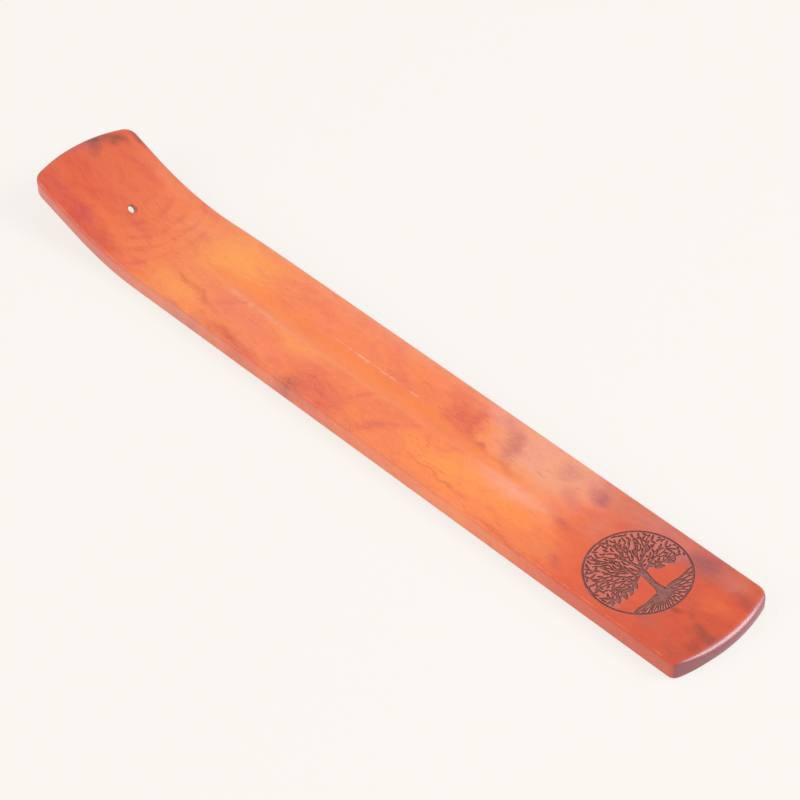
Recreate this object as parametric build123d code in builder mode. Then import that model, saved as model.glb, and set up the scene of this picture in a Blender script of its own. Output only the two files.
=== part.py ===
"""Incense stick holder: one sawn and sanded wooden board, flat on the table and turned up at one end.

+X runs from the raised end to the flat end, +Z is up, and the origin is under the middle of the board.
"""
import os
from math import cos, radians, sin, sqrt

from build123d import *

# Board outline
board_length = 254.0
board_width = 35.4
board_thickness = 6.3
end_radius = 55.0
raised_end_skew = 2.5
corner_radius = 4.0
arris_radius = 1.1

# Upturned end: both faces start to rise at the same distance from the raised tip
upturn_length = 45.0
top_bend_radius = 80.0
top_bend_angle = 22.5
underside_bend_radius = 72.0
underside_bend_angle = 20.0

# The sanded hollow in front of the upturn, where the top dips before it rises
hollow_dip = 0.6
hollow_lead_angle = 2.4

# Ash groove along the middle, cut with a round-nosed tool that dips in, runs level and climbs out
groove_from_tip = 57.0
groove_length = 132.0
groove_run_in = 22.0
groove_run_out = 58.0
groove_width = 7.4
groove_depth = 1.0
groove_side_offset = 0.8
groove_path_radius = 60.0

# Stick hole, drilled on a slant so that the stick leans over the groove
hole_from_tip = 25.6
hole_side_offset = -0.55
hole_diameter = 2.5
hole_lean = 45.0
hole_straight_length = 2.4
hole_exit_half_angle = 33.0
hole_mouth_easing = 0.25

# Every cut runs this far past the wood
overrun = 5.0

half_length = board_length / 2
half_width = board_width / 2
upturn_x = upturn_length - half_length


def end_corner(side_y, skew):
    """Distance from the middle to where a bowed end meets a side, for an arc whose peak is off the middle."""
    return half_length - end_radius + sqrt(end_radius**2 - (side_y + skew) ** 2)


def top_height(x):
    """Height of the top face on the bend, at a place along the board."""
    rise = top_bend_radius - sqrt(top_bend_radius**2 - (upturn_x - x) ** 2)
    return board_thickness - hollow_dip + rise


# The dip is shared between a long crest and the start of the bend, which meet at the lead angle
lead = radians(hollow_lead_angle)
crest_radius = hollow_dip / (1 - cos(lead)) - top_bend_radius
crest_x = upturn_x + (crest_radius + top_bend_radius) * sin(lead)

with BuildPart() as tray:
    # Side profile, from the flat end along the top to the raised tip and back along the underside
    with BuildSketch(Plane.XZ):
        with BuildLine():
            flat_top = Line((half_length + overrun, board_thickness), (crest_x, board_thickness))
            crest = JernArc(flat_top @ 1, flat_top % 1, crest_radius, hollow_lead_angle)
            top_bend = JernArc(crest @ 1, crest % 1, top_bend_radius, -hollow_lead_angle - top_bend_angle)
            top_ramp = Line(top_bend @ 1, top_bend @ 1 + (top_bend % 1) * upturn_length)
            flat_under = Line((half_length + overrun, 0), (upturn_x, 0))
            under_bend = JernArc(
                flat_under @ 1, flat_under % 1, underside_bend_radius, -underside_bend_angle
            )
            under_ramp = Line(under_bend @ 1, under_bend @ 1 + (under_bend % 1) * upturn_length)
            Line(top_ramp @ 1, under_ramp @ 1)
            Line(flat_top @ 0, flat_under @ 0)
        make_face()
    extrude(amount=half_width + overrun, both=True)

    # Plan outline with bowed ends and eased corners
    with BuildSketch(Plane.XY):
        with BuildLine():
            near_flat = (end_corner(-half_width, 0), -half_width)
            far_flat = (end_corner(half_width, 0), half_width)
            near_raised = (-end_corner(-half_width, raised_end_skew), -half_width)
            far_raised = (-end_corner(half_width, raised_end_skew), half_width)
            Line(near_raised, near_flat)
            ThreePointArc(near_flat, (half_length, 0), far_flat)
            Line(far_flat, far_raised)
            ThreePointArc(far_raised, (-half_length, -raised_end_skew), near_raised)
        plan = make_face()
        fillet(plan.vertices(), corner_radius)
    extrude(amount=upturn_length, both=True, mode=Mode.INTERSECT)

    # Rounded arrises all round the top and the underside
    fillet(tray.edges().filter_by(Axis.Z, reverse=True), arris_radius)

    # Ash groove: a round section swept along a path that rises clear of the wood at both ends
    groove_x = groove_from_tip - half_length
    tool_radius = (groove_width**2 / 4 + groove_depth**2) / (2 * groove_depth)
    level_z = board_thickness - groove_depth + tool_radius
    clear_z = board_thickness + tool_radius
    with BuildLine(Plane.XZ.offset(-groove_side_offset)) as groove_path:
        FilletPolyline(
            (groove_x, clear_z),
            (groove_x + groove_run_in, level_z),
            (groove_x + groove_length - groove_run_out, level_z),
            (groove_x + groove_length, clear_z),
            radius=groove_path_radius,
        )
    with BuildSketch(Plane(groove_path.line @ 0, z_dir=groove_path.line % 0)):
        Circle(tool_radius)
    sweep(path=groove_path.line, mode=Mode.SUBTRACT)

    # Stick hole: a straight bore below the mouth that opens out towards the underside
    hole_x = hole_from_tip - half_length
    lean_dir = Vector(sin(radians(hole_lean)), 0, cos(radians(hole_lean)))
    mouth = Vector(hole_x, hole_side_offset, top_height(hole_x))
    mouth_plane = Plane(mouth + lean_dir * overrun, x_dir=(0, 1, 0), z_dir=-lean_dir)
    throat_plane = Plane(mouth - lean_dir * hole_straight_length, x_dir=(0, 1, 0), z_dir=-lean_dir)
    with BuildSketch(mouth_plane):
        Circle(hole_diameter / 2)
    extrude(amount=overrun + hole_straight_length, mode=Mode.SUBTRACT)
    with BuildSketch(throat_plane):
        Circle(hole_diameter / 2)
    extrude(amount=board_thickness, taper=-hole_exit_half_angle, mode=Mode.SUBTRACT)
    fillet(tray.edges().sort_by_distance(mouth)[0], hole_mouth_easing)

tray.part.label = "tray"

os.makedirs("parts", exist_ok=True)
export_step(tray.part, "parts/tray.step")
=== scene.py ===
import math
import random

import bpy
from mathutils import Matrix, Quaternion, Vector, noise
from mathutils.geometry import delaunay_2d_cdt
from mathutils.kdtree import KDTree


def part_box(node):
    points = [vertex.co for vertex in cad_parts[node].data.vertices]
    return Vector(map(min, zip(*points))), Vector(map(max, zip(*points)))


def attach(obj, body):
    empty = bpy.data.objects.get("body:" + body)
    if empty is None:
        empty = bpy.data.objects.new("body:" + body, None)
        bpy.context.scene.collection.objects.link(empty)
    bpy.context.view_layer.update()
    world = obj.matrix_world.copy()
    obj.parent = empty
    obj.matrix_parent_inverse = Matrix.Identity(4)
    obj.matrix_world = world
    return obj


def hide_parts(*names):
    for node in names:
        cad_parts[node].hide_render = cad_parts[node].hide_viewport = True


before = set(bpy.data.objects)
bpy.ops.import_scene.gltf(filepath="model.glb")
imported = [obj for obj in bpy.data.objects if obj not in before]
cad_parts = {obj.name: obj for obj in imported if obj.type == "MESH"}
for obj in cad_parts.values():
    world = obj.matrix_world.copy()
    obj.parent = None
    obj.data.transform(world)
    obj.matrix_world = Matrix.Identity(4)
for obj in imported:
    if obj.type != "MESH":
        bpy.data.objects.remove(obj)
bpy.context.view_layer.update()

# Board: one flat-sawn plank of mango wood, about ten inches long. Its upturned end is sawn from the
# solid, the ash groove is cut along the top, the stick hole is drilled at a slant through the upturn,
# and every edge is sanded round by hand. All sizes in this section are millimetres.
MM = 0.001
_, board_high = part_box("tray")
half_length = board_high.x / MM
half_width = board_high.y / MM
thickness = 6.3

raised_end_radius = 55.0
raised_end_skew = 2.5
flat_end_radius = 48.0
flat_end_skew = 0.8
corner_radius = 4.0
near_flat_corner_radius = 2.4
arris_radius = 1.1
flat_end_top_radius = 2.8
flat_end_under_radius = 2.4
flat_end_under_twist = 0.5
flat_end_easing = 8.0
flat_end_sharpness = 3
arris_steps = 9
least_arc_steps = 6
same_point_gap = 0.01
rim_width = 3.6
end_spacing = 0.8
side_spacing = 2.5

upturn_length = 45.0
upturn_x = upturn_length - half_length
top_bend_radius = 80.0
top_bend_angle = math.radians(22.5)
under_bend_radius = 72.0
under_bend_angle = math.radians(20.0)
hollow_dip = 0.6
hollow_lead_angle = math.radians(2.4)
crest_radius = hollow_dip / (1 - math.cos(hollow_lead_angle)) - top_bend_radius
crest_x = upturn_x + (crest_radius + top_bend_radius) * math.sin(hollow_lead_angle)

groove_from_tip = 57.0
groove_start_x = groove_from_tip - half_length
groove_length = 132.0
groove_run_in = 22.0
groove_run_out = 58.0
groove_width = 7.4
groove_depth = 1.0
groove_y = 0.8
groove_tool_radius = (groove_width**2 / 4 + groove_depth**2) / (2 * groove_depth)
groove_edge_easing = 0.3

sanding_wave = 0.05
sanding_wavelength = 26.0


def on_bend(x, radius, angle):
    """Rise above the bend's lowest line at x: an arc, then a straight ramp at its end slope."""
    run = max(upturn_x - x, 0.0)
    arc_run = min(run, radius * math.sin(angle))
    return radius - math.sqrt(radius**2 - arc_run**2) + (run - arc_run) * math.tan(angle)


def top_profile(x):
    """Height of the top face before the groove: flat, a gentle crest, a shallow hollow, the upturn."""
    if x >= crest_x:
        return thickness
    if x >= crest_x - crest_radius * math.sin(hollow_lead_angle):
        return thickness - crest_radius + math.sqrt(crest_radius**2 - (crest_x - x) ** 2)
    if x >= upturn_x:
        hollow_run = x - upturn_x
        return thickness - hollow_dip + top_bend_radius - math.sqrt(top_bend_radius**2 - hollow_run**2)
    return thickness - hollow_dip + on_bend(x, top_bend_radius, top_bend_angle)


def under_height(x, y):
    return on_bend(x, under_bend_radius, under_bend_angle)


groove_path = [
    (groove_start_x, top_profile(groove_start_x)),
    (groove_start_x + groove_run_in, thickness - groove_depth),
    (groove_start_x + groove_length - groove_run_out, thickness - groove_depth),
    (groove_start_x + groove_length, thickness),
]


def groove_sink(x):
    """How far the groove's lowest line is below the top face at x; less than nought past its ends."""
    if x < groove_path[0][0]:
        return (x - groove_path[0][0]) * groove_depth / groove_run_in
    for (x0, z0), (x1, z1) in zip(groove_path[:-1], groove_path[1:]):
        if x < x1:
            return top_profile(x) - z0 - (z1 - z0) * (x - x0) / (x1 - x0)
    return (groove_path[-1][0] - x) * groove_depth / groove_run_out


def groove_half_width(x):
    """Half the groove's width on the top face at x, nought past its ends."""
    depth = max(groove_sink(x), 0.0)
    return math.sqrt(depth * (2 * groove_tool_radius - depth))


def top_height(x, y):
    """Height of the finished top: the profile, less the groove with its eased edges, less the sanding."""
    across = min(abs(y - groove_y), groove_tool_radius)
    wall = groove_tool_radius - math.sqrt(groove_tool_radius**2 - across**2)
    cut = groove_sink(x) - wall
    eased_cut = (cut + math.hypot(cut, groove_edge_easing)) / 2
    ripple = noise.noise(Vector((x, y, 0)) / sanding_wavelength)
    return top_profile(x) - eased_cut - sanding_wave * (1 + ripple) / 2


board_ends = ((1, flat_end_radius, flat_end_skew), (-1, raised_end_radius, -raised_end_skew))


def end_arcs(sign, end_radius, centre_y):
    """Corner, end and corner arc of one end, anticlockwise: centre, radius, first and last angle."""
    centre = Vector((sign * (half_length - end_radius), centre_y))
    facing = 0.0 if sign > 0 else math.pi
    corners = []
    for side in (-sign, sign):
        radius = near_flat_corner_radius if sign > 0 and side < 0 else corner_radius
        y = side * (half_width - radius)
        reach = math.sqrt((end_radius - radius) ** 2 - (y - centre_y) ** 2)
        turn = math.atan2(sign * (y - centre_y), reach)
        corners.append((Vector((centre.x + sign * reach, y)), radius, facing + turn))
    (first, first_radius, turn_in), (last, last_radius, turn_out) = corners
    return [
        (first, first_radius, facing - math.pi / 2, turn_in),
        (centre, end_radius, turn_in, turn_out),
        (last, last_radius, turn_out, facing + math.pi / 2),
    ]


def board_outline():
    """Points of the plan outline with their outward normals, anticlockwise from the near side."""
    points = []
    for centre, radius, first, last in [arc for end in board_ends for arc in end_arcs(*end)]:
        count = max(least_arc_steps, round(radius * (last - first) / end_spacing))
        for step in range(count + 1):
            angle = first + (last - first) * step / count
            normal = Vector((math.cos(angle), math.sin(angle)))
            point = centre + radius * normal
            if not points or (point - points[-1][0]).length > same_point_gap:
                points.append((point, normal))
    filled = []
    for (point, normal), (after, _) in zip(points, points[1:] + points[:1]):
        pieces = max(1, round((after - point).length / side_spacing))
        filled += [(point.lerp(after, piece / pieces), normal) for piece in range(pieces)]
    return filled


# Stick hole: a plain drilled hole leaning toward the groove, its mouth eased with sandpaper and its
# underside opened out into a cone, so that a stick's bamboo end can be pushed clear.
hole_from_tip = 25.6
hole_x = hole_from_tip - half_length
hole_y = -0.55
hole_radius = 1.25
hole_lean = math.radians(45.0)
hole_straight_length = 2.4
hole_exit_half_angle = math.radians(33.0)
hole_easing = 0.25
easing_middle_shares = (0.3, 0.35)
hole_sides = 40
deepest_exit = 25.0
halvings = 40
hole_axis = Vector((math.cos(hole_lean), 0, math.sin(hole_lean)))
hole_across = Vector((0, 1, 0))
hole_along = hole_axis.cross(hole_across)
hole_mouth = Vector((hole_x, hole_y, top_profile(hole_x)))


def hole_point(angle, radius, travel):
    """A point on the hole's wall, at a distance along its axis from the middle of the mouth."""
    spoke = math.cos(angle) * hole_across + math.sin(angle) * hole_along
    return hole_mouth + radius * spoke + travel * hole_axis


def hole_meets(angle, radius_at, height, low, high):
    """The travel at which the hole's wall reaches a face, found by halving the interval."""
    for _ in range(halvings):
        middle = (low + high) / 2
        point = hole_point(angle, radius_at(middle), middle)
        if point.z > height(point.x, point.y):
            high = middle
        else:
            low = middle
    return (low + high) / 2


def cone_radius(travel):
    return hole_radius - (travel + hole_straight_length) * math.tan(hole_exit_half_angle)


def hole_rings():
    """Rings of points down the hole, from the mouth on the top face to the exit on the underside."""
    rim_radius = hole_radius + hole_easing
    out_share, down_share = easing_middle_shares
    lines = []
    for side in range(hole_sides):
        angle = 2 * math.pi * side / hole_sides
        rim = hole_meets(angle, lambda _: rim_radius, top_height, -thickness, thickness)
        leave = hole_meets(angle, cone_radius, under_height, -deepest_exit, -hole_straight_length)
        lines.append([
            hole_point(angle, rim_radius, rim),
            hole_point(angle, hole_radius + out_share * hole_easing, rim - down_share * hole_easing),
            hole_point(angle, hole_radius, rim - hole_easing),
            hole_point(angle, hole_radius, -hole_straight_length),
            hole_point(angle, cone_radius(leave), leave),
        ])
    return zip(*lines)


# Medallion: a tree of life in a ring, burnt into the flat end as fine sunk lines. The tree is a
# generic one, grown here by rule with a fixed seed. Its lengths are shares of the ring's radius,
# written as pairs: up toward the raised end, and across the board.
medallion_radius = 14.5
medallion_from_end = 30.7
medallion_x = half_length - medallion_from_end
medallion_y = -1.0
line_width = 0.33
line_share = line_width / medallion_radius
cut_depth = 0.25
tree_seed = 11
chance = random.Random(tree_seed)
drawn_lines = []
solid_leaves = []
twig_points = []


def on_board(shares):
    """A point of the medallion, given in shares of its radius, on the board's plan."""
    return Vector((medallion_x - shares[0] * medallion_radius, medallion_y + shares[1] * medallion_radius))


# Limbs rise in a fan from the crotch, every other one as a fork of the limb before, with two twigs each.
# Bends, turns and sways are in radians. Widths, like those of all drawn lines, are in line widths.
crotch_shares = (-0.06, 0.06)
canopy_edge_share = 0.955
limb_degrees = (-100, -85, -69, -51, -33, -15, 3, 21, 40, 60, 82, 108)
limb_jitter = 4
limb_reach_share = 0.9
limb_length_share = 0.92
limb_bend = 0.36
limb_sway = 0.3
limb_widths = (2.2, 1.1)
limb_steps = 12
fork_step = 3
fork_length_share = 0.76
twig_place_shares = (0.42, 0.66)
twig_length_shares = (0.2, 0.3)
twig_turn = 0.75
twig_bend = 0.9
twig_sway = 0.1
twig_widths = (1.5, 1.0)
twig_steps = 6
sway_turns = 1.1
taper_power = 0.7


def grow(start, heading, length, bend, sway, widths, steps):
    """Draws one tapering branch, which bends and sways as it goes, and returns its points."""
    up, across = start
    points = [start]
    for step in range(steps):
        share = (step + 0.5) / steps
        turn = heading + bend * share + sway * math.sin(2 * math.pi * sway_turns * share)
        up += math.cos(turn) * length / steps
        across += math.sin(turn) * length / steps
        if math.hypot(up, across) < canopy_edge_share:
            points.append((up, across))
    thick, thin = widths
    last = max(len(points) - 1, 1)
    taper = [thick + (thin - thick) * (index / last) ** taper_power for index in range(len(points))]
    if len(points) > 2:
        drawn_lines.append((points, taper, False))
        twig_points.extend(zip(points, taper))
    return points


def limb_length(heading):
    """How far a limb runs from the crotch before it meets the edge of the canopy."""
    up, across = crotch_shares
    along = up * math.cos(heading) + across * math.sin(heading)
    return math.sqrt(along**2 + limb_reach_share**2 - up**2 - across**2) - along


for index, degrees in enumerate(limb_degrees):
    heading = math.radians(degrees + chance.uniform(-limb_jitter, limb_jitter))
    forks = index % 2 == 1
    side = 1 if forks else -1
    start = limb[fork_step] if forks else crotch_shares
    length = limb_length(heading) * (fork_length_share if forks else limb_length_share)
    bend = limb_bend * side
    limb = grow(start, heading - bend / 2, length, bend, limb_sway * side, limb_widths, limb_steps)
    for turn, share in zip((side, -side), twig_place_shares):
        knot = int(share * (len(limb) - 1))
        (up, across), (next_up, next_across) = limb[knot], limb[knot + 1]
        twig_heading = math.atan2(next_across - across, next_up - up) + twig_turn * turn
        twig_length = chance.uniform(*twig_length_shares)
        grow(limb[knot], twig_heading, twig_length, -twig_bend * turn, twig_sway, twig_widths, twig_steps)

# Leaves fill the canopy between the limbs, some as solid shapes and some as one curved stroke, and a few
# larger ones hang below it. The fan, the leans and the swirl are in radians.
leaf_tries = 60000
leaf_edge_share = 0.93
leaf_fan = 2.1
canopy_foot_share = -0.04
near_droop_share = 0.18
far_droop_share = 0.28
bare_crotch_share = 0.16
leaf_length_shares = (0.11, 0.19)
late_leaf_share = 0.6
leaf_width_shares = (0.055, 0.075)
leaf_steps = 6
leaf_fullness = 0.8
least_lean = 0.05
inner_lean = 0.4
outer_lean = 1.4
outer_leaf_share = 0.75
swirl = 0.3
swirl_outward = 9
swirl_around = 5
leaf_gap_shares = (0.46, 0.56)
twig_gap_share = 0.42
most_curl = 0.5
solid_leaf_share = 0.5
far_solid_leaf_share = 0.4
solid_width_share = 0.75
stroke_bow_share = 0.5
leaf_stroke_widths = (0.8, 1.4, 1.9, 2.1, 1.9, 1.3, 0.7)
stem_reach_share = 0.06
stem_widths = (1.1, 1.0)
hanging_leaves = (
    (-0.17, -0.25, -150), (-0.20, -0.40, -150), (-0.21, -0.55, -145),
    (-0.19, -0.70, -140), (-0.16, -0.82, -130), (-0.17, 0.37, 120), (-0.21, 0.58, 140),
)
hanging_leaf_shares = (0.22, 0.10)
hanging_curl = 0.2
hanging_stem_shares = ((0.16, 0.04), (0.07, 0.03))
hanging_stem_widths = (1.1, 1.1)


def leaf_outline(centre, heading, length, width, curl):
    """A pointed, slightly curled leaf as a closed line, anticlockwise on the board's plan."""
    points = []
    for side in (1, -1):
        for step in range(leaf_steps):
            share = step / leaf_steps
            along = (share - 0.5) * length * side
            bow = curl * length * share * (1 - share)
            off = bow - side * width / 2 * math.sin(math.pi * share) ** leaf_fullness
            points.append((
                centre[0] + along * math.cos(heading) - off * math.sin(heading),
                centre[1] + along * math.sin(heading) + off * math.cos(heading),
            ))
    return points


def crowds(centre, heading, other, half_length_share, half_width_share):
    """Whether another point lies inside the ellipse that a leaf keeps for itself."""
    up, across = other[0] - centre[0], other[1] - centre[1]
    along = up * math.cos(heading) + across * math.sin(heading)
    off = across * math.cos(heading) - up * math.sin(heading)
    return (along / half_length_share) ** 2 + (off / half_width_share) ** 2 < 1


placed_leaves = []
for attempt in range(leaf_tries):
    radius = leaf_edge_share * math.sqrt(chance.random())
    angle = chance.uniform(-leaf_fan, leaf_fan)
    centre = (radius * math.cos(angle), radius * math.sin(angle))
    from_crotch = (centre[0] - crotch_shares[0], centre[1] - crotch_shares[1])
    droop = (near_droop_share if centre[1] < 0 else far_droop_share) * abs(centre[1])
    if centre[0] < canopy_foot_share - droop or math.hypot(*from_crotch) < bare_crotch_share:
        continue
    length = chance.uniform(*leaf_length_shares)
    if attempt >= leaf_tries / 2:
        length *= late_leaf_share
    width = chance.uniform(*leaf_width_shares)
    most_lean = inner_lean if radius < outer_leaf_share else outer_lean
    lean = chance.choice((-1, 1)) * chance.uniform(least_lean, most_lean)
    lean += swirl * math.sin(swirl_outward * radius + swirl_around * angle)
    heading = math.atan2(from_crotch[1], from_crotch[0]) + lean
    half_leaf = Vector((math.cos(heading), math.sin(heading))) * length / 2
    if (Vector(centre) + half_leaf).length > canopy_edge_share:
        continue
    long_share, wide_share = leaf_gap_shares
    if any(
        crowds(centre, heading, other, (length + more) * long_share, (width + wider) * wide_share)
        for other, more, wider in placed_leaves
    ):
        continue
    long_gap, wide_gap = length * twig_gap_share, width * twig_gap_share
    if any(
        crowds(centre, heading, twig, long_gap, wide_gap + thick * line_share / 2)
        for twig, thick in twig_points
    ):
        continue
    placed_leaves.append((centre, length, width))
    curl = chance.uniform(-most_curl, most_curl)
    if chance.random() < solid_leaf_share + far_solid_leaf_share * max(centre[1], 0.0):
        solid_leaves.append(leaf_outline(centre, heading, length, solid_width_share * width, curl))
    else:
        stroke = leaf_outline(centre, heading, length, stroke_bow_share * width, curl)
        drawn_lines.append((stroke[:len(leaf_stroke_widths)], leaf_stroke_widths, False))
    base = Vector(centre) - half_leaf
    nearest = min((Vector(twig) for twig, _ in twig_points), key=lambda twig: (twig - base).length)
    if (nearest - base).length < stem_reach_share:
        drawn_lines.append(([tuple(nearest), tuple(base)], stem_widths, False))

for up, across, degrees in hanging_leaves:
    heading = math.radians(degrees)
    solid_leaves.append(leaf_outline((up, across), heading, *hanging_leaf_shares, hanging_curl))
    stem = [(up + up_share, across + across_share) for up_share, across_share in hanging_stem_shares]
    drawn_lines.append((stem, hanging_stem_widths, False))

# Trunk, roots and ring: the roots fan out from the trunk's foot to the ring, the outer two thicker.
trunk_shares = (
    (-0.70, -0.04), (-0.60, -0.03), (-0.48, -0.015), (-0.34, 0.0),
    (-0.2, 0.03), (-0.08, 0.055), (0.0, 0.065),
)
trunk_width_shares = (0.30, 0.23, 0.15, 0.125, 0.13, 0.15, 0.10)
drawn_lines.append((trunk_shares, [share / line_share for share in trunk_width_shares], False))

root_count = 31
root_fan_degrees = (129, 231)
root_foot_shares = (-0.60, 0.10)
root_foot_bow_share = 0.10
root_foot_width_share = 0.26
root_bow_share = 0.036
root_bow_loss_share = 0.06
root_sway_share = 0.012
root_sway_turns = 1.4
root_sway_offset = 0.37
root_width = 1.5
outer_root_width = 2.6
root_taper = 0.5
root_steps = 8
for index in range(root_count):
    share = index / (root_count - 1)
    fan_from, fan_to = root_fan_degrees
    spread = math.radians(fan_from + (fan_to - fan_from) * share)
    end = canopy_edge_share * Vector((math.cos(spread), math.sin(spread)))
    foot_up, foot_across = root_foot_shares
    foot_up -= root_foot_bow_share * math.sin(math.pi * share)
    start = Vector((foot_up, foot_across - root_foot_width_share * share))
    middle = (start + end) / 2 + Vector((root_bow_share - root_bow_loss_share * abs(share - 0.5), 0))
    thick = outer_root_width if index in (0, root_count - 1) else root_width
    points = []
    widths = []
    for step in range(root_steps + 1):
        along = step / root_steps
        bow = start.lerp(middle, along).lerp(middle.lerp(end, along), along)
        turn = root_sway_turns * along + root_sway_offset * index
        sway = root_sway_share * math.sin(2 * math.pi * turn)
        points.append((bow.x + sway, bow.y + sway))
        widths.append(thick - root_taper * along)
    drawn_lines.append((points, widths, False))

ring_share = 0.975
ring_width = 1.9
ring_steps = 120
ring_angles = [2 * math.pi * step / ring_steps for step in range(ring_steps)]
ring = [(ring_share * math.cos(angle), ring_share * math.sin(angle)) for angle in ring_angles]
drawn_lines.append((ring, [ring_width] * ring_steps, True))


def add(tree, kind, links=None, **settings):
    """Adds one node with its settings, and sets or links its sockets by identifier or name."""
    node = tree.nodes.new(kind)
    for name, value in settings.items():
        setattr(node, name, value)
    for key, value in (links or {}).items():
        if isinstance(key, int):
            socket = node.inputs[key]
        else:
            socket = next(s for s in node.inputs if key in (s.identifier, s.name))
        if isinstance(value, bpy.types.NodeSocket):
            tree.links.new(value, socket)
        else:
            socket.default_value = value
    return node


def into_scene(name, data):
    """Makes an object of a mesh, a curve, a lamp or a camera, and links it into the scene."""
    made = bpy.data.objects.new(name, data)
    bpy.context.scene.collection.objects.link(made)
    return made


def lines_to_ribbons(material):
    """Geometry Nodes lay a flat ribbon along each drawn line, as wide as the line is there."""
    curve = bpy.data.curves.new("medallion_lines", "CURVE")
    curve.dimensions = "3D"
    for points, widths, closed in drawn_lines:
        spline = curve.splines.new("POLY")
        spline.points.add(len(points) - 1)
        for spot, shares, width in zip(spline.points, points, widths):
            spot.co = (*(on_board(shares) * MM), 0, 1)
            spot.radius = width
        spline.use_cyclic_u = closed
    carrier = into_scene("medallion_lines", curve)

    tree = bpy.data.node_groups.new("ribbons_along_lines", "GeometryNodeTree")
    tree.interface.new_socket("Lines", in_out="INPUT", socket_type="NodeSocketGeometry")
    width_socket = tree.interface.new_socket("Line Width", in_out="INPUT", socket_type="NodeSocketFloat")
    finish_socket = tree.interface.new_socket("Finish", in_out="INPUT", socket_type="NodeSocketMaterial")
    tree.interface.new_socket("Ribbons", in_out="OUTPUT", socket_type="NodeSocketGeometry")
    given = add(tree, "NodeGroupInput").outputs
    level = add(tree, "GeometryNodeSetCurveNormal", {"Curve": given["Lines"]}, mode="Z_UP")
    profile = add(tree, "GeometryNodeCurvePrimitiveLine", {"Start": (-0.5, 0, 0), "End": (0.5, 0, 0)})
    thick = add(tree, "GeometryNodeInputRadius")
    width = add(tree, "ShaderNodeMath", {
        0: thick.outputs["Radius"], 1: given["Line Width"],
    }, operation="MULTIPLY")
    ribbon = add(tree, "GeometryNodeCurveToMesh", {
        "Curve": level.outputs["Curve"],
        "Profile Curve": profile.outputs["Curve"],
        "Scale": width.outputs["Value"],
    })
    real = add(tree, "GeometryNodeRealizeInstances", {"Geometry": ribbon.outputs["Mesh"]})
    dressed = add(tree, "GeometryNodeSetMaterial", {
        "Geometry": real.outputs["Geometry"],
        "Material": given["Finish"],
    })
    add(tree, "NodeGroupOutput", {"Ribbons": dressed.outputs["Geometry"]})

    modifier = carrier.modifiers.new("ribbons_along_lines", "NODES")
    modifier.node_group = tree
    modifier[width_socket.identifier] = line_width * MM
    modifier[finish_socket.identifier] = material
    evaluated = carrier.evaluated_get(bpy.context.evaluated_depsgraph_get())
    ribbons = bpy.data.meshes.new_from_object(evaluated)
    carrier.modifiers.remove(modifier)
    bpy.data.objects.remove(carrier)
    return ribbons


burnt_wood = bpy.data.materials.new("burnt_wood")
stained_wood = bpy.data.materials.new("stained_lacquered_mango_wood")

# Cutting: the board's skin, from the underside over the arrises to the top, with the stick hole
# through it and the medallion's lines sunk into the top face with upright walls.
points = []
haze_and_wall_shade_values = []
faces = []
face_burnt = []


def put(x, y, z, haze_and_wall_shade=0.0):
    points.append((x * MM, y * MM, z * MM))
    haze_and_wall_shade_values.append(haze_and_wall_shade)
    return len(points) - 1


def face(corners, burnt=False):
    faces.append(corners)
    face_burnt.append(burnt)


def join_rows(lower, upper):
    """Quads between two closed rows of as many points, facing away from the rows' left."""
    for here in range(len(lower)):
        after = (here + 1) % len(lower)
        face((lower[here], lower[after], upper[after], upper[here]))


outline = board_outline()


def arris_row(step, height, sense):
    """One row round a sanded arris: step 0 is on the side face, the last is on the face above or below.

    The rounding touches the upright side and the face, which may slope up to the edge. The flat end was
    sanded rounder than the rest, except at its near corner, and roundest below on its far side.
    """
    row = []
    for point, normal in outline:
        from_near_corner = (point.y + half_width - near_flat_corner_radius) / flat_end_easing
        flat_end_share = max(normal.x, 0.0) ** flat_end_sharpness * min(max(from_near_corner, 0.0), 1.0)
        end_radius = flat_end_top_radius
        if sense < 0:
            end_radius = flat_end_under_radius + flat_end_under_twist * point.y / half_width
        radius = arris_radius + (end_radius - arris_radius) * flat_end_share
        inset = point - normal * radius
        slope = math.atan((height(*point) - height(*inset)) / radius)
        centre_z = height(*inset) - sense * radius / math.cos(slope)
        angle = (math.pi / 2 + sense * slope) * step / arris_steps
        spot = inset + normal * radius * math.cos(angle)
        row.append(put(spot.x, spot.y, centre_z + sense * radius * math.sin(angle)))
    return row


under_rows = [arris_row(step, under_height, -1) for step in range(arris_steps, -1, -1)]
top_rows = [arris_row(step, top_height, 1) for step in range(arris_steps + 1)]
skin_rows = under_rows + top_rows
for lower, upper in zip(skin_rows[:-1], skin_rows[1:]):
    join_rows(lower, upper)

bore_rows = [[put(*point) for point in ring] for ring in hole_rings()]
for upper, lower in zip(bore_rows[:-1], bore_rows[1:]):
    join_rows(upper, lower)


def plan(indices):
    return [Vector((points[index][0] / MM, points[index][1] / MM)) for index in indices]


def anticlockwise(polygon):
    area = sum(a.x * b.y - b.x * a.y for a, b in zip(polygon, polygon[1:] + polygon[:1]))
    return polygon if area > 0 else polygon[::-1]


def inside_margin(point, margin):
    """Whether a plan point is clear of the board's rim by a margin."""
    if abs(point.y) > half_width - arris_radius - margin:
        return False
    for sign, end_radius, centre_y in board_ends:
        centre = Vector((sign * (half_length - end_radius), centre_y))
        if sign * (point.x - centre.x) > 0 and (point - centre).length > end_radius - rim_width - margin:
            return False
    return True


TRIANGLES_INSIDE = 1
same_spot_gap = 1e-5


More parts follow.
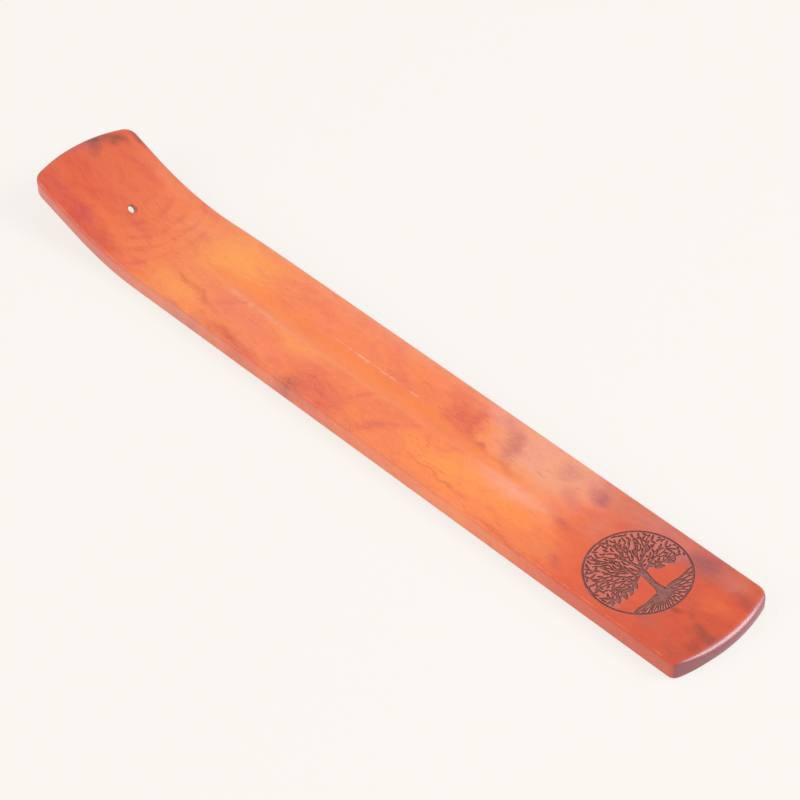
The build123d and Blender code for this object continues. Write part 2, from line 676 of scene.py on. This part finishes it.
def triangulate(outer, hole, inner_points, cuts):
    """Splits a face into triangles round its hole; each triangle says whether a cut covers it."""
    coordinates = plan(outer) + plan(hole)
    polygons = [list(range(len(outer))), list(range(len(outer), len(outer) + len(hole)))]
    if polygons[1] and anticlockwise(plan(hole)) != plan(hole):
        polygons[1].reverse()
    for cut in cuts:
        first = len(coordinates)
        coordinates += cut
        polygons.append(list(range(first, first + len(cut))))
    coordinates += inner_points
    found, _, triangles, origins, _, owners = delaunay_2d_cdt(
        coordinates, [], polygons, TRIANGLES_INSIDE, same_spot_gap
    )
    given = outer + hole
    known = [next((given[o] for o in origin if o < len(given)), None) for origin in origins]
    kept = [
        (triangle, any(o > 1 for o in owner))
        for triangle, owner in zip(triangles, owners)
        if 0 in owner and 1 not in owner
    ]
    return found, known, kept


ribbons = lines_to_ribbons(burnt_wood)
cuts = [
    anticlockwise([ribbons.vertices[corner].co.xy / MM for corner in polygon.vertices])
    for polygon in ribbons.polygons
]
cuts += [anticlockwise([on_board(shares) for shares in leaf]) for leaf in solid_leaves]
bpy.data.meshes.remove(ribbons)


def staggered(low, high, step_x, step_y):
    """Points of a grid between two corners, every other row shifted by half a step."""
    return [
        Vector((low.x + (column + 0.5 * (row % 2)) * step_x, low.y + row * step_y))
        for column in range(int((high.x - low.x) / step_x) + 1)
        for row in range(int((high.y - low.y) / step_y) + 1)
    ]


# The top face gets an even grid, closer rows along the groove's edges, and a fine grid round the medallion.
top_grid = (2.4, 1.7)
top_margin = 0.8
feature_margin = 1.2
hole_clearance = 2.6
board_corner = Vector((half_length, half_width))
medallion_middle = on_board((0, 0))
top_spots = []
for spot in staggered(-board_corner, board_corner, *top_grid):
    in_groove = abs(spot.y - groove_y) < groove_half_width(spot.x) + feature_margin
    in_medallion = (spot - medallion_middle).length < medallion_radius + feature_margin
    if inside_margin(spot, top_margin) and not in_groove and not in_medallion:
        top_spots.append(spot)

groove_step = 1.5
groove_spare_steps = 2
groove_offsets = (-0.9, -0.55, -0.3, -0.1, 0.1, 0.3, 0.55, 0.9)
groove_floor_shares = (-0.6, -0.35, -0.12, 0.12, 0.35, 0.6)
least_offset = 0.05
wide_groove_half = 2.0
for step in range(-groove_spare_steps, int(groove_length / groove_step) + groove_spare_steps + 1):
    x = groove_start_x + step * groove_step
    half = groove_half_width(x)
    edge_rows = [half + offset for offset in groove_offsets if half + offset > least_offset]
    rows = [side * row for side in (-1, 1) for row in edge_rows]
    if half > wide_groove_half:
        rows += [share * half for share in groove_floor_shares]
    top_spots += [Vector((x, groove_y + row)) for row in rows]

scorch_grid = (0.4, 0.4)
scorch_margin = 1.0
scorch_half = medallion_radius + scorch_margin
scorch_corner = Vector((scorch_half, scorch_half))
for spot in staggered(medallion_middle - scorch_corner, medallion_middle + scorch_corner, *scorch_grid):
    if (spot - medallion_middle).length < scorch_half:
        top_spots.append(spot)
top_spots = [spot for spot in top_spots if (spot - hole_mouth.xy).length > hole_clearance]

found, known, triangles = triangulate(top_rows[-1], bore_rows[0], top_spots, cuts)
cut_points = KDTree(sum(len(cut) for cut in cuts))
for index, point in enumerate(point for cut in cuts for point in cut):
    cut_points.insert((*point, 0), index)
cut_points.balance()
scorch_reach = 1.5
scorch_sectors = 8
root_edge_share = 0.55
canopy_scorch_share = 0.8


def scorch_at(spot):
    """How far a spot is browned: from nought in the open to one where lines lie close on all sides."""
    sectors = set()
    for place, _, _ in cut_points.find_range((*spot, 0), scorch_reach):
        away = place.xy - spot
        turn = (math.atan2(away.y, away.x) + math.pi) / (2 * math.pi)
        sectors.add(int(turn * scorch_sectors) % scorch_sectors)
    in_roots = spot.x > medallion_x + root_edge_share * medallion_radius
    return max(0.0, 2 * len(sectors) / scorch_sectors - 1) * (1.0 if in_roots else canopy_scorch_share)


upper = list(known)
lower = [None] * len(found)
whole_spots = {index for triangle, burnt in triangles if not burnt for index in triangle}
edge_owner = {}
for triangle, burnt in triangles:
    layer = lower if burnt else upper
    for index in triangle:
        if layer[index] is None:
            spot = found[index]
            sink = cut_depth if burnt else 0.0
            # On a cut's floor the value is one at the foot of its walls: painted shade, which darkens the
            # narrow lines.
            haze_and_wall_shade = float(index in whole_spots) if burnt else scorch_at(spot)
            layer[index] = put(spot.x, spot.y, top_height(spot.x, spot.y) - sink, haze_and_wall_shade)
    face(tuple(layer[index] for index in triangle), burnt)
    for start, end in zip(triangle, triangle[1:] + triangle[:1]):
        edge_owner[(start, end)] = burnt
for (start, end), burnt in edge_owner.items():
    if burnt and edge_owner.get((end, start)) is False:
        face((lower[end], lower[start], upper[start], upper[end]), True)

under_grid = (4.0, 4.0)
under_margin = 1.5
under_spots = [
    spot for spot in staggered(-board_corner, board_corner, *under_grid)
    if inside_margin(spot, under_margin)
]
found, known, triangles = triangulate(under_rows[0], bore_rows[-1], under_spots, [])
for index, spot in enumerate(found):
    if known[index] is None:
        known[index] = put(spot.x, spot.y, under_height(spot.x, spot.y))
for triangle, _ in triangles:
    face(tuple(known[index] for index in reversed(triangle)))


def from_groove(x, y, z):
    """How far a point of the top face is outside the groove's edge; below nought inside the groove."""
    if z < thickness / 2 or groove_sink(x) <= 0:
        return half_width
    return abs(y - groove_y) - groove_half_width(x)


sharp_edge_angle = math.radians(35)
board_mesh = bpy.data.meshes.new("board")
board_mesh.from_pydata(points, [], faces)
board_mesh.materials.append(stained_wood)
board_mesh.materials.append(burnt_wood)
board_mesh.polygons.foreach_set("material_index", [int(burnt) for burnt in face_burnt])
board_mesh.polygons.foreach_set("use_smooth", [True] * len(faces))
board_mesh.set_sharp_from_angle(angle=sharp_edge_angle)
# Per point: the scorch haze on the top face, and the painted shade at the foot of the cut walls.
haze_and_wall_shade = board_mesh.attributes.new("haze_and_wall_shade", "FLOAT", "POINT")
haze_and_wall_shade.data.foreach_set("value", haze_and_wall_shade_values)
groove_gap = board_mesh.attributes.new("groove_gap", "FLOAT", "POINT")
groove_gap.data.foreach_set("value", [from_groove(*(place / MM for place in point)) for point in points])
board_mesh.validate()
board = into_scene("board", board_mesh)


def linear(code):
    """An sRGB hex colour as linear red, green, blue and full alpha."""
    channels = [int(code[place:place + 2], 16) / 255 for place in (1, 3, 5)]
    return tuple(c / 12.92 if c <= 0.04045 else ((c + 0.055) / 1.055) ** 2.4 for c in channels) + (1.0,)


# Stained mango wood under a thin satin lacquer: an orange brown that turns redder toward both ends, with
# soft uneven blotches, faint growth rings on the upturn, short dark pores and painted highlights on edges.
COLOUR_RESULT = 2
EVEN, SMOOTH = "LINEAR", "SMOOTHSTEP"
TO_MILLIMETRES = (1 / MM, 1 / MM, 1 / MM)
stained_wood.use_nodes = True
tree = stained_wood.node_tree
shader = tree.nodes["Principled BSDF"]
place = add(tree, "ShaderNodeTexCoord")
in_millimetres = add(tree, "ShaderNodeMapping", {
    "Vector": place.outputs["Object"], "Scale": TO_MILLIMETRES,
})
millimetres = in_millimetres.outputs["Vector"]
layers = []


def lay(tree, colour, layers):
    """Lays layers over a colour, each as a colour, a way to blend, factors and ranges.

    A range is a value, where it starts and is full, its least and most, and how it eases between them.
    The product of the factors and ranges is the layer's strength.
    """
    for code, blend, factors, ranges in layers:
        shares = list(factors)
        for value, start, full, least, most, easing in ranges:
            share = add(tree, "ShaderNodeMapRange", {
                "Value": value, "From Min": start, "From Max": full, "To Min": least, "To Max": most,
            }, interpolation_type=easing)
            shares.append(share.outputs["Result"])
        strength = shares[0]
        for share in shares[1:]:
            product = add(tree, "ShaderNodeMath", {0: strength, 1: share}, operation="MULTIPLY")
            strength = product.outputs["Value"]
        laid = add(tree, "ShaderNodeMix", {
            "Factor_Float": strength, "A_Color": colour, "B_Color": linear(code),
        }, data_type="RGBA", blend_type=blend)
        colour = laid.outputs[COLOUR_RESULT]
    return colour


def shifted(spot, texture, reach):
    """A spot on the board moved by a texture's colour, by up to half the reach either way."""
    off_middle = add(tree, "ShaderNodeVectorMath", {
        0: texture.outputs["Color"], 1: (0.5, 0.5, 0.5),
    }, operation="SUBTRACT")
    moved = add(tree, "ShaderNodeVectorMath", {
        0: off_middle.outputs["Vector"], 1: reach, 2: spot,
    }, operation="MULTIPLY_ADD")
    return moved.outputs["Vector"]


# Cloudy and streaky shifts give the stain's blotches their irregular, slightly feathered borders.
cloud_size = 9.0
cloud_reach = (10, 8, 0)
streak_size = (14, 0.9, 5)
streak_reach = (1.5, 0.3, 0)
cloud = add(tree, "ShaderNodeTexNoise", {
    "Vector": millimetres, "Scale": 1 / cloud_size, "Detail": 4.0, "Roughness": 0.6,
})
clouded = shifted(millimetres, cloud, cloud_reach)
streak_space = add(tree, "ShaderNodeMapping", {
    "Vector": millimetres, "Scale": [1 / size for size in streak_size],
})
streak = add(tree, "ShaderNodeTexNoise", {
    "Vector": streak_space.outputs["Vector"], "Scale": 1.0, "Detail": 3.0,
})
feathered = shifted(clouded, streak, streak_reach)

# Stain: how deep the orange brown went in along the board, as millimetres along it and a colour.
stain_stops = (
    (-127, "#DC633F"), (-104, "#E66E44"), (-84, "#F48049"), (-66, "#F98D4F"), (-30, "#F68552"),
    (10, "#F5824C"), (48, "#F98B4C"), (68, "#F07A46"), (84, "#DF5E35"), (127, "#C84827"),
)
along = add(tree, "ShaderNodeSeparateXYZ", {"Vector": feathered})
stain_share = add(tree, "ShaderNodeMapRange", {
    "Value": along.outputs["X"], "From Min": -half_length, "From Max": half_length,
})
stain = add(tree, "ShaderNodeValToRGB", {"Fac": stain_share.outputs["Result"]})
ramp = stain.color_ramp
while len(ramp.elements) < len(stain_stops):
    ramp.elements.new(0.5)
for element, (x, code) in zip(ramp.elements, stain_stops):
    element.position = (x + half_length) / (2 * half_length)
    element.color = linear(code)

# Blotches: places where the wood is paler, yellower, redder or darker, and one mauve patch of painted shade
# and reflection low on the near side. Each has a middle, half its length and width in millimetres, a turn
# in degrees, a colour and a strength, and two have a firmer edge.
SOFT, FIRM = 1.0, 0.65
fleck_size = (3.4, 0.9, 3)
fleck_space = add(tree, "ShaderNodeMapping", {
    "Vector": clouded, "Scale": [1 / size for size in fleck_size],
})
fleck = add(tree, "ShaderNodeTexNoise", {
    "Vector": fleck_space.outputs["Vector"], "Scale": 1.0, "Detail": 3.0, "Roughness": 0.6,
})
uneven = add(tree, "ShaderNodeMapRange", {
    "Value": fleck.outputs["Fac"], "From Min": 0.34, "From Max": 0.66, "To Min": 0.8, "To Max": 1.12,
})
blotches = (
    (-10, 18, 112, 8, 0, "#F69C78", 0.5),
    (-114, -7, 22, 10, 0, "#D9512F", 0.5),
    (-103, -10, 15, 4, 0, "#F0793E", 0.6),
    (-108, -16, 36, 7, 0, "#CE4A38", 0.7),
    (-109, -13.4, 8, 2.2, 0, "#C84250", 0.45),
    (-119, -13, 6, 1.8, 0, "#C84250", 0.35),
    (-96, 11, 14, 7, 0, "#F5814C", 0.5),
    (-102, 15, 22, 5, 0, "#F08A64", 0.6),
    (-121.6, 11.2, 4.2, 5.4, 0, "#92442E", 0.95),
    (-124.8, 5.6, 3.8, 6.5, -8, "#80484C", 0.95),
    (-122.2, 3.8, 3.2, 4.4, 0, "#B0503C", 0.6),
    (-119, 17.8, 8, 2.0, 0, "#9C4A44", 0.7),
    (-125.5, -4, 3.0, 9, 0, "#C0625E", 0.6),
    (-84, 9.5, 13, 9, 0, "#FA9A62", 0.5),
    (-65, 8, 20, 15, 0, "#FDA24F", 0.9),
    (-69, -11.5, 15, 6.5, 0, "#FC9A4C", 0.8),
    (-45, -8.5, 28, 8, -4, "#F07E5E", 0.7),
    (-64, -9.3, 18, 1.8, -12, "#D65A38", 0.55),
    (-42, -16.5, 20, 3.6, -5, "#D4553E", 0.7),
    # Painted shade and reflection: a mauve band along the near side's lower edge.
    (-60, -19.4, 20, 3.6, 0, "#B06A70", 0.6),
    (-26, -4.5, 18, 5, 0, "#FE9C58", 0.7),
    (-11, -13, 20, 9, 0, "#DD6048", 0.8),
    (-18.5, -16.8, 9, 3.4, 10, "#A84C48", 0.6),
    (3, -13.5, 7, 5, 0, "#FB9246", 0.8),
    (11, -11.5, 15, 3.4, 40, "#D8664C", 0.6),
    (-1, -6, 10, 1.8, 60, "#E06C44", 0.45),
    (25, 7, 13, 8, -40, "#DC5E48", 0.8),
    (54, 12, 28, 14, 0, "#F0A080", 1.0, FIRM),
    (32, 16, 13, 6, 0, "#EC9C84", 0.8),
    (29.5, 8, 11, 4.4, -62, "#D65C46", 0.6),
    (41, 9.5, 13, 4, -52, "#CC7660", 0.85),
    (36, -8.6, 26, 6.5, 0, "#FF9C48", 0.85),
    (53, -2.5, 22, 6.5, 0, "#F6A684", 0.9),
    (60, -9, 20, 7, 0, "#FC9348", 0.7),
    (60.5, 12, 5, 4, 0, "#C0706A", 0.5),
    (66, 6, 8, 4, -30, "#DC7C66", 0.6),
    (88, 4, 20, 17, 0, "#DA5A36", 0.4, FIRM),
    (72, -13, 14, 5, 0, "#F08A44", 0.6),
    (99, 10, 7, 4.5, 0, "#A4646A", 0.7),
    (72, 11.5, 5, 6, -20, "#A85058", 0.8),
    (71, -2.8, 9, 3.4, -15, "#BE5044", 0.65),
    (79, -12.5, 5.4, 3, -25, "#C4444A", 0.55),
    (88, 14.5, 36, 9, 0, "#CC7868", 0.8),
    (79, 4, 8, 8, 0, "#DC7C5C", 0.6),
    (107, 12.8, 10, 6.4, 0, "#9A5250", 0.9),
    (117, 13.6, 9, 6, 0, "#C87060", 0.75),
    (118, 5, 9, 6, 0, "#E86A30", 0.6),
    (111.5, -4.4, 4.5, 1.6, 25, "#8E3020", 0.8),
    (116, -2.6, 3.4, 2.2, -35, "#A24030", 0.6),
    (118.5, -7.4, 3.6, 2.4, 20, "#A84430", 0.5),
    (121.3, -5.2, 4.5, 2.8, -15, "#96382A", 0.75),
    (124.4, -4.8, 3.4, 3.6, 0, "#8A3A2E", 0.8),
    (123.4, -9.5, 4, 5, 0, "#A03A26", 0.7),
    (121, -14, 6, 2.4, 0, "#B04A34", 0.6),
    (119.5, 0.4, 5, 2.4, 10, "#B8482C", 0.5),
    (123, 11, 6, 3.4, 0, "#A2402E", 0.6),
    (109, -11, 6, 4.5, 0, "#B0564A", 0.6),
    (36, 2.9, 8, 1.4, -6, "#C05A46", 0.5),
    (46, 2.1, 8, 1.4, -4, "#B85244", 0.5),
    (35, -13.3, 22, 0.9, -7, "#D06638", 0.45),
    (63, -16.6, 16, 0.8, -2, "#D06638", 0.45),
)
for x, y, long, wide, turn, code, strength, *firm in blotches:
    around = add(tree, "ShaderNodeMapping", {
        "Vector": feathered,
        "Location": (x, y, 0),
        "Rotation": (0, 0, math.radians(turn)),
        "Scale": (long, wide, 1 / MM),
    }, vector_type="TEXTURE")
    spread = add(tree, "ShaderNodeTexGradient", {
        "Vector": around.outputs["Vector"],
    }, gradient_type="SPHERICAL")
    ranges = [(spread.outputs["Fac"], 0, FIRM if firm else SOFT, 0, strength, SMOOTH)]
    layers.append((code, "MIX", [uneven.outputs["Result"]], ranges))

# Mottle: the stain is pinker and yellower by turns, in soft patches a few millimetres across.
slow_bend_size = 22
slow_bend_reach = (10, 6, 3)
mottle_size = (11, 5, 9)
mottle_turn = math.radians(8)
slow_bend = add(tree, "ShaderNodeTexNoise", {
    "Vector": millimetres, "Scale": 1 / slow_bend_size, "Detail": 1.0,
})
bent = shifted(millimetres, slow_bend, slow_bend_reach)
mottle_space = add(tree, "ShaderNodeMapping", {
    "Vector": bent, "Rotation": (0, 0, mottle_turn), "Scale": [1 / size for size in mottle_size],
})
mottle = add(tree, "ShaderNodeTexNoise", {
    "Vector": mottle_space.outputs["Vector"], "Scale": 1.0, "Detail": 5.0, "Roughness": 0.6,
})
mottled = mottle.outputs["Fac"]
layers.append(("#F6E6FA", "MULTIPLY", [], [(mottled, 0.48, 0.7, 0, 1, EVEN)]))
layers.append(("#FFFDE4", "MULTIPLY", [], [(mottled, 0.5, 0.3, 0, 1, EVEN)]))

# Growth rings: the upturn slices down through them, so their late wood shows there as faint, broken arcs,
# which fade out along the board on both sides. A wave texture turns 20 radians per unit of its scale.
growth_ring_spacing = 4.6
growth_ring_middle = (-114, 3, 0)
growth_ring_stretch = 1.15
WAVE_RADIANS = 20
around_middle = add(tree, "ShaderNodeMapping", {
    "Vector": bent, "Location": growth_ring_middle, "Scale": (growth_ring_stretch, 1, 1 / MM),
}, vector_type="TEXTURE")
growth_rings = add(tree, "ShaderNodeTexWave", {
    "Vector": around_middle.outputs["Vector"], "Scale": 2 * math.pi / WAVE_RADIANS / growth_ring_spacing,
}, wave_type="RINGS", rings_direction="Z", wave_profile="SIN")
layers.append(("#F8EBEC", "MULTIPLY", [], [
    (growth_rings.outputs["Fac"], 0.5, 1, 0, 1, SMOOTH),
    (mottled, 0.4, 0.6, 0.15, 1, EVEN),
    (along.outputs["X"], -112, -96, 0.2, 1, SMOOTH),
    (along.outputs["X"], -72, -86, 0, 1, SMOOTH),
]))

# Fibre: fine faint streaks along the grain, which the relief and the dullness follow too.
fibre_size = (10, 0.5, 3)
fibre_space = add(tree, "ShaderNodeMapping", {
    "Vector": clouded, "Scale": [1 / size for size in fibre_size],
})
fibre = add(tree, "ShaderNodeTexNoise", {
    "Vector": fibre_space.outputs["Vector"], "Scale": 1.0, "Detail": 3.0, "Roughness": 0.65,
})
layers.append(("#F8F0F2", "MULTIPLY", [], [(fibre.outputs["Fac"], 0.45, 0.7, 0, 0.6, EVEN)]))
layers.append(("#F9EEEE", "MULTIPLY", [], [(fleck.outputs["Fac"], 0.46, 0.68, 0, 0.8, EVEN)]))

# Pores: short dark dashes, 1 to 3 mm long, in loose drifts.
pore_spacing = (8, 0.7, 3)
pore_space = add(tree, "ShaderNodeMapping", {
    "Vector": bent, "Scale": [1 / spacing for spacing in pore_spacing],
})
pore = add(tree, "ShaderNodeTexVoronoi", {"Vector": pore_space.outputs["Vector"], "Scale": 1.0})
layers.append(("#B04E3A", "MIX", [], [
    (pore.outputs["Distance"], 0.2, 0.06, 0, 1, EVEN),
    (cloud.outputs["Fac"], 0.48, 0.58, 0, 0.65, EVEN),
]))

# Groove: its inside is tinted a deeper orange as painted shade, and paler broken lines along its edges are
# painted highlights. Each edge highlight has a colour, where its line starts and is full, how strong it is,
# which edge, and its two fades.
highlight_break_size = 3
groove_edge_highlights = (
    ("#FCC0A2", 0.4, 0.05, 0.75, "GREATER_THAN", ((-24, -17), (17, 9))),
    ("#F9A67E", 1.9, 0.2, 0.5, "LESS_THAN", ((-66, -56), (-28, -40))),
)
groove_off = add(tree, "ShaderNodeAttribute", attribute_name="groove_gap")
# Painted shade: the inside of the groove is tinted a deeper orange.
layers.append(("#F68440", "MIX", [], [(groove_off.outputs["Fac"], 0.2, -1, 0, 0.5, EVEN)]))
patchy = add(tree, "ShaderNodeTexNoise", {
    "Vector": millimetres, "Scale": 1 / highlight_break_size, "Detail": 2.0,
})
patchy_share = add(tree, "ShaderNodeMapRange", {
    "Value": patchy.outputs["Fac"], "From Min": 0.42, "From Max": 0.6, "To Min": 0.1, "To Max": 0.9,
})
on_edge = add(tree, "ShaderNodeMath", {0: groove_off.outputs["Fac"]}, operation="ABSOLUTE")
place_on_board = add(tree, "ShaderNodeSeparateXYZ", {"Vector": millimetres})
# Painted highlights: paler, broken lines along the groove's edges.
for code, starts, full, strength, side_of_groove, fades in groove_edge_highlights:
    one_edge = add(tree, "ShaderNodeMath", {
        0: place_on_board.outputs["Y"], 1: groove_y,
    }, operation=side_of_groove)
    ranges = [(on_edge.outputs["Value"], starts, full, 0, strength, SMOOTH)]
    ranges += [(place_on_board.outputs["X"], end_x, full_x, 0, 1, SMOOTH) for end_x, full_x in fades]
    layers.append((code, "MIX", [one_edge.outputs["Value"], patchy_share.outputs["Result"]], ranges))

# Sides: tinted pinker than the top as a painted reflection of the pale floor, with a paler line along the
# arris as a painted highlight, and faces turned to the far side made a darker mauve.
facing = add(tree, "ShaderNodeSeparateXYZ", {"Vector": place.outputs["Normal"]})
sideways = add(tree, "ShaderNodeMath", {0: facing.outputs["Y"]}, operation="ABSOLUTE")
# Painted reflection: the sides are tinted pinker, more so toward the raised end.
layers.append(("#DA7E72", "MIX", [], [
    (sideways.outputs["Value"], 0.6, 0.95, 0, 1, EVEN),
    (place_on_board.outputs["X"], -30, -100, 0.15, 0.65, EVEN),
]))
# Painted highlight: a paler, broken line along the arris between the top and the sides.
layers.append(("#FFBC9C", "MIX", [patchy_share.outputs["Result"]], [
    (sideways.outputs["Value"], 0.3, 0.5, 0, 0.25, EVEN),
    (sideways.outputs["Value"], 0.72, 0.5, 0, 1, EVEN),
]))
layers.append(("#A8505C", "MIX", [], [(facing.outputs["Y"], 0.35, 0.8, 0, 0.7, EVEN)]))

# End grain drinks more stain, so both sawn ends are dark and dull.
endwise = add(tree, "ShaderNodeMath", {0: facing.outputs["X"]}, operation="ABSOLUTE")
layers.append(("#8A4B54", "MIX", [], [(endwise.outputs["Value"], 0.4, 0.85, 0, 0.92, SMOOTH)]))

# Scorch: the burning left a mauve-brown haze beside the medallion's lines.
haze = add(tree, "ShaderNodeAttribute", attribute_name="haze_and_wall_shade")
layers.append(("#BE7068", "MIX", [], [(haze.outputs["Fac"], 0, 1, 0, 0.85, EVEN)]))

tree.links.new(lay(tree, stain.outputs["Color"], layers), shader.inputs["Base Color"])

# Lacquer: thin and satin, a little duller over the open fibres, whose relief shows through it.
dullness = add(tree, "ShaderNodeMapRange", {
    "Value": fibre.outputs["Fac"], "From Min": 0.3, "From Max": 0.7, "To Min": 0.42, "To Max": 0.52,
})
tree.links.new(dullness.outputs["Result"], shader.inputs["Roughness"])
fibre_height = 0.05 * MM
relief = add(tree, "ShaderNodeBump", {
    "Height": fibre.outputs["Fac"], "Strength": 0.12, "Distance": fibre_height,
})
tree.links.new(relief.outputs["Normal"], shader.inputs["Normal"])
shader.inputs["IOR"].default_value = 1.5
shader.inputs["Specular IOR Level"].default_value = 0.2
shader.inputs["Coat Weight"].default_value = 0.8
shader.inputs["Coat Roughness"].default_value = 0.3
shader.inputs["Coat IOR"].default_value = 1.5

# Burnt wood: charred a mauve brown by the engraving, matt, with the ash wiped out unevenly, and made
# darker at the foot of the cut walls and all through the narrow lines as painted shade.
burnt_wood.use_nodes = True
tree = burnt_wood.node_tree
shader = tree.nodes["Principled BSDF"]
place = add(tree, "ShaderNodeTexCoord")
ash_size = 1.25
ash_height = 0.1 * MM
ash_space = add(tree, "ShaderNodeMapping", {
    "Vector": place.outputs["Object"], "Scale": TO_MILLIMETRES,
})
ash = add(tree, "ShaderNodeTexNoise", {
    "Vector": ash_space.outputs["Vector"], "Scale": 1 / ash_size, "Detail": 4.0,
})
# Painted shade: a cut's floor is darker at the foot of its walls, so the narrow lines are dark all through.
painted_wall_shade = add(tree, "ShaderNodeAttribute", attribute_name="haze_and_wall_shade")
char = lay(tree, linear("#824E48"), [
    ("#966260", "MIX", [], [(ash.outputs["Fac"], 0.35, 0.65, 0, 1, EVEN)]),
    ("#884638", "MIX", [], [(painted_wall_shade.outputs["Fac"], 0.3, 1, 0, 1, EVEN)]),
])
tree.links.new(char, shader.inputs["Base Color"])
ash_dullness = add(tree, "ShaderNodeMapRange", {
    "Value": ash.outputs["Fac"], "To Min": 0.6, "To Max": 0.85,
})
tree.links.new(ash_dullness.outputs["Result"], shader.inputs["Roughness"])
relief = add(tree, "ShaderNodeBump", {
    "Height": ash.outputs["Fac"], "Strength": 0.3, "Distance": ash_height,
})
tree.links.new(relief.outputs["Normal"], shader.inputs["Normal"])
shader.inputs["IOR"].default_value = 1.5

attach(board, "root")
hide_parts("tray")

# Floor: a plain sheet of pale paper that runs out of view on every side, a hair below the board. The
# camera and the gloss see mostly its own pale colour, and all else sees matt paper.
floor_half = 2.0
floor_z = -0.05 * MM
floor_glow = 0.85
floor_corners = ((-1, -1), (1, -1), (1, 1), (-1, 1))
backdrop_colour = linear("#FAF6F1")
floor_mesh = bpy.data.meshes.new("floor")
floor_mesh.from_pydata(
    [(x * floor_half, y * floor_half, floor_z) for x, y in floor_corners], [], [(0, 1, 2, 3)]
)
floor = into_scene("floor", floor_mesh)


def seen_directly(tree):
    """One for rays from the camera, in a gloss or through a surface, and nought for all others."""
    ray = add(tree, "ShaderNodeLightPath")
    seen = ray.outputs["Is Camera Ray"]
    for kind in ("Is Glossy Ray", "Is Transmission Ray"):
        either = add(tree, "ShaderNodeMath", {0: seen, 1: ray.outputs[kind]}, operation="MAXIMUM")
        seen = either.outputs["Value"]
    return seen


paper = bpy.data.materials.new("pale_paper")
paper.use_nodes = True
tree = paper.node_tree
tree.nodes.clear()
matt = add(tree, "ShaderNodeBsdfDiffuse", {"Color": backdrop_colour})
glow = add(tree, "ShaderNodeEmission", {"Color": backdrop_colour, "Strength": 1.0})
glow_share = add(tree, "ShaderNodeMath", {0: seen_directly(tree), 1: floor_glow}, operation="MULTIPLY")
mixed = add(tree, "ShaderNodeMixShader", {
    0: glow_share.outputs["Value"], 1: matt.outputs["BSDF"], 2: glow.outputs["Emission"],
})
add(tree, "ShaderNodeOutputMaterial", {"Surface": mixed.outputs["Shader"]})
floor_mesh.materials.append(paper)

# Light: even studio light from a pale surround, a softbox behind, a fill in front, and a small panel
# by the flat end that shows only as a gloss on its rounded edge.
world = bpy.data.worlds.new("studio")
bpy.context.scene.world = world
world.use_nodes = True
tree = world.node_tree
tree.nodes.clear()
surround = add(tree, "ShaderNodeBackground", {"Color": (1, 1, 1, 1), "Strength": 0.5})
backdrop = add(tree, "ShaderNodeBackground", {"Color": backdrop_colour, "Strength": 1.0})
mixed = add(tree, "ShaderNodeMixShader", {
    0: seen_directly(tree), 1: surround.outputs["Background"], 2: backdrop.outputs["Background"],
})
add(tree, "ShaderNodeOutputWorld", {"Surface": mixed.outputs["Shader"]})


def lamp(name, place, target, size, watts, roll=0.0):
    """Adds one rectangular lamp that faces a target, turned about its own axis."""
    light = bpy.data.lights.new(name, "AREA")
    light.shape = "RECTANGLE"
    light.size, light.size_y = size
    light.energy = watts
    holder = into_scene(name, light)
    holder.location = place
    aim = (Vector(target) - Vector(place)).to_track_quat("-Z", "Y")
    holder.rotation_euler = (aim @ Quaternion((0, 0, 1), math.radians(roll))).to_euler()
    return holder


big_lamps = (
    ("back_softbox", (0.75, 0.45, 0.85), (0.6, 0.5), 8.5),
    ("front_fill", (-0.3, -1.1, 0.7), (0.8, 0.8), 6.0),
)
for name, place, size, watts in big_lamps:
    lamp(name, place, (0, 0, 0), size, watts).visible_glossy = False
panel = lamp(
    "end_panel", place=(0.18875, 0.035, 0.0215), target=(0.127, 0, 0.005), size=(0.08, 0.034), watts=0.115,
    roll=-15.0,
)
panel.data.color = linear("#F8ECF0")[:3]
panel.visible_diffuse = False
panel.visible_camera = False

# Camera: a long lens that looks down on the board over the near corner of its flat end.
camera_data = bpy.data.cameras.new("camera")
camera_data.sensor_width = 36.0
camera_data.lens = 132.874
camera = into_scene("camera", camera_data)
azimuth, elevation, roll = (math.radians(angle) for angle in (46.867, 44.595, -1.598))
target = Vector((3.813, 4.343, 0)) * MM
distance = 806.077 * MM
turned = Matrix.Rotation(azimuth, 3, "Z")
tilted = turned @ Matrix.Rotation(math.pi / 2 - elevation, 3, "X")
aim = tilted @ Matrix.Rotation(roll, 3, "Z")
camera.location = target + aim @ Vector((0, 0, distance))
camera.rotation_euler = aim.to_euler()
bpy.context.scene.camera = camera
bpy.context.scene.view_settings.view_transform = "Standard"
